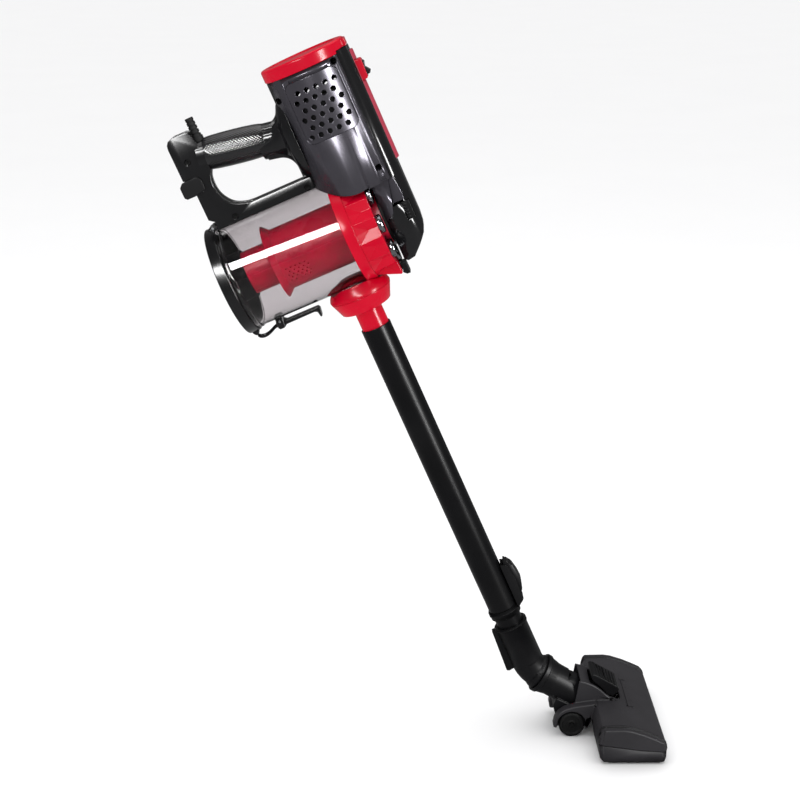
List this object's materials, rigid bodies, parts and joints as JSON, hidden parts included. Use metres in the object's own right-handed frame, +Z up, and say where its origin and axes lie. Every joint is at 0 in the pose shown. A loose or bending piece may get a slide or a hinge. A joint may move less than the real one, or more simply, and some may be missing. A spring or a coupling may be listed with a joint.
{
  "type": "upright vacuum cleaner",
  "caption": "Corded stick vacuum with a clear cyclone cup on a loop-handled motor unit, telescopic wand and swivelling floor head.",
  "frame": {"origin": "on the floor under the middle of the floor head, at the foot rib across the suction mouth", "axes": "+Z up; +X toward the front of the floor head, away from the user; +Y to the machine's left"},
  "size_m": [0.5608, 0.198, 0.8187],
  "materials": {
    "gunmetal_gloss": "gloss",
    "steel": "satin",
    "red_gloss": "gloss",
    "red_strip": "gloss",
    "foam": "open-cell foam",
    "black_gloss": "gloss",
    "black_matt": "fine grain",
    "rubber": "matt",
    "grip_weave": "woven pattern under gloss",
    "copper": "wound copper",
    "brass": "satin",
    "clear_smoke": "clear smoke-tinted",
    "red_deep": "satin",
    "chrome": "mirror",
    "filter_paper": "pleated paper",
    "black_tube": "semi-gloss paint",
    "dark_plastic": "fine grain",
    "bristle": "bristle"
  },
  "bodies": {
    "hand_unit": {"casing_right": "gunmetal_gloss", "casing_left": "gunmetal_gloss", "casing_screws": "steel", "top_cap": "red_gloss", "exhaust_grille_right": "gunmetal_gloss", "exhaust_grille_left": "gunmetal_gloss", "exhaust_foam": "foam", "spine_cover": "black_gloss", "spine_strip": "red_strip", "switch_bezel": "red_gloss", "switch_block": "black_matt", "strain_relief": "rubber", "cord_clip": "black_matt", "grip_sleeve": "grip_weave", "power_lead": "rubber", "motor_can": "steel", "fan_cover": "steel", "motor_mounts": "rubber", "motor_bearings": "steel", "carbon_brushes": "brass", "release_springs": "steel"},
    "rocker": {"rocker_switch": "black_gloss"},
    "button_right": {"release_button_right": "black_matt"},
    "button_left": {"release_button_left": "black_matt"},
    "rotor": {"motor_shaft": "steel", "armature": "copper", "impeller": "steel"},
    "cup_unit": {"dust_cup": "clear_smoke", "cyclone_ring": "red_gloss", "cyclone_cones": "red_deep", "cyclone_caps": "chrome", "shroud": "red_deep", "dust_funnel": "red_deep", "funnel_seal": "rubber", "hepa_filter": "filter_paper", "cup_seal": "rubber", "corner_catch": "black_matt", "inlet_duct": "red_gloss", "lid_pin": "steel", "latch_pin": "steel"},
    "lid": {"cup_lid": "black_gloss", "lid_seal": "rubber"},
    "latch": {"lid_latch": "black_matt"},
    "flap": {"inlet_flap": "rubber"},
    "wand_upper": {"outer_tube": "black_tube", "lock_collar": "black_matt", "lock_spring": "steel"},
    "slider": {"lock_slider": "black_matt"},
    "wand_lower": {"inner_tube": "black_tube"},
    "elbow_socket": {"elbow": "black_matt"},
    "swivel_neck": {"neck": "black_matt", "swivel_ring": "black_matt"},
    "floor_head": {"head_shell": "dark_plastic", "head_sole": "dark_plastic", "head_screws": "steel", "head_axle": "steel"},
    "wheel_r": {"wheel_right": "rubber"},
    "wheel_l": {"wheel_left": "rubber"},
    "pedal_rocker": {"pedal": "black_matt"},
    "brushes": {"brush_frame": "bristle"}
  },
  "joints": [
    {"name": "power_rocker", "type": "hinge", "parent": "hand_unit", "child": "rocker", "pos_m": [-0.30966, 0, 0.78443], "axis": [0, 1, 0], "range_deg": [-9, 0]},
    {"name": "release_right", "type": "slide", "parent": "hand_unit", "child": "button_right", "axis": [0, 1, 0], "range_m": [0, 0.0025], "stiffness_N_per_m": 400, "springref_m": -0.0005, "deforming": ["release_springs"]},
    {"name": "release_left", "type": "slide", "parent": "hand_unit", "child": "button_left", "axis": [0, -1, 0], "range_m": [0, 0.0025], "stiffness_N_per_m": 400, "springref_m": -0.0005, "deforming": ["release_springs"]},
    {"name": "motor_spin", "type": "hinge", "parent": "hand_unit", "child": "rotor", "pos_m": [-0.34338, 0, 0.73084], "axis": [-0.3987, 0, 0.9171], "continuous": true},
    {"name": "cup_release", "type": "slide", "parent": "hand_unit", "child": "cup_unit", "axis": [0.3987, 0, -0.9171], "range_m": [0, 0.06]},
    {"name": "lid_hinge", "type": "hinge", "parent": "cup_unit", "child": "lid", "pos_m": [-0.47295, 0, 0.61278], "axis": [0, 1, 0], "range_deg": [0, 90]},
    {"name": "lid_latch", "type": "hinge", "parent": "cup_unit", "child": "latch", "pos_m": [-0.40257, 0, 0.50708], "axis": [0, 1, 0], "range_deg": [-5.5, 0], "stiffness_Nm_per_rad": 0.3, "springref_deg": 2.86},
    {"name": "inlet_flap", "type": "hinge", "parent": "cup_unit", "child": "flap", "pos_m": [-0.3262, 0, 0.53658], "axis": [0, 1, 0], "range_deg": [-50, 0], "stiffness_Nm_per_rad": 0.01, "springref_deg": 11.46},
    {"name": "wand_pull_off", "type": "slide", "parent": "cup_unit", "child": "wand_upper", "axis": [0.3987, 0, -0.9171], "range_m": [0, 0.06]},
    {"name": "telescope", "type": "slide", "parent": "wand_upper", "child": "wand_lower", "axis": [0.3987, 0, -0.9171], "range_m": [0, 0.25]},
    {"name": "lock_slider", "type": "slide", "parent": "wand_upper", "child": "slider", "axis": [0.3987, 0, -0.9171], "range_m": [0, 0.003], "stiffness_N_per_m": 500, "springref_m": -0.0008, "deforming": ["lock_spring"]},
    {"name": "head_pull_off", "type": "slide", "parent": "wand_lower", "child": "elbow_socket", "axis": [0.3987, 0, -0.9171], "range_m": [0, 0.05]},
    {"name": "neck_swivel", "type": "hinge", "parent": "elbow_socket", "child": "swivel_neck", "pos_m": [-0.1, 0, 0.0695], "axis": [0.8572, 0, -0.515], "range_deg": [-90, 90]},
    {"name": "neck_pitch", "type": "hinge", "parent": "swivel_neck", "child": "floor_head", "pos_m": [-0.0624, 0, 0.01525], "axis": [0, 1, 0], "range_deg": [0, 38]},
    {"name": "wheel_right_spin", "type": "hinge", "parent": "floor_head", "child": "wheel_r", "pos_m": [-0.0624, 0, 0.01525], "axis": [0, 1, 0], "continuous": true},
    {"name": "wheel_left_spin", "type": "hinge", "parent": "floor_head", "child": "wheel_l", "pos_m": [-0.0624, 0, 0.01525], "axis": [0, 1, 0], "continuous": true},
    {"name": "pedal_rock", "type": "hinge", "parent": "floor_head", "child": "pedal_rocker", "pos_m": [-0.015, 0, 0.0432], "axis": [0, 1, 0], "range_deg": [-6, 0]},
    {"name": "brush_lift", "type": "slide", "parent": "floor_head", "child": "brushes", "axis": [0, 0, -1], "range_m": [0, 0.004]}
  ],
  "couplings": [
    {"joint": "brush_lift", "follows": "pedal_rock", "m_per_rad": -0.038}
  ]
}
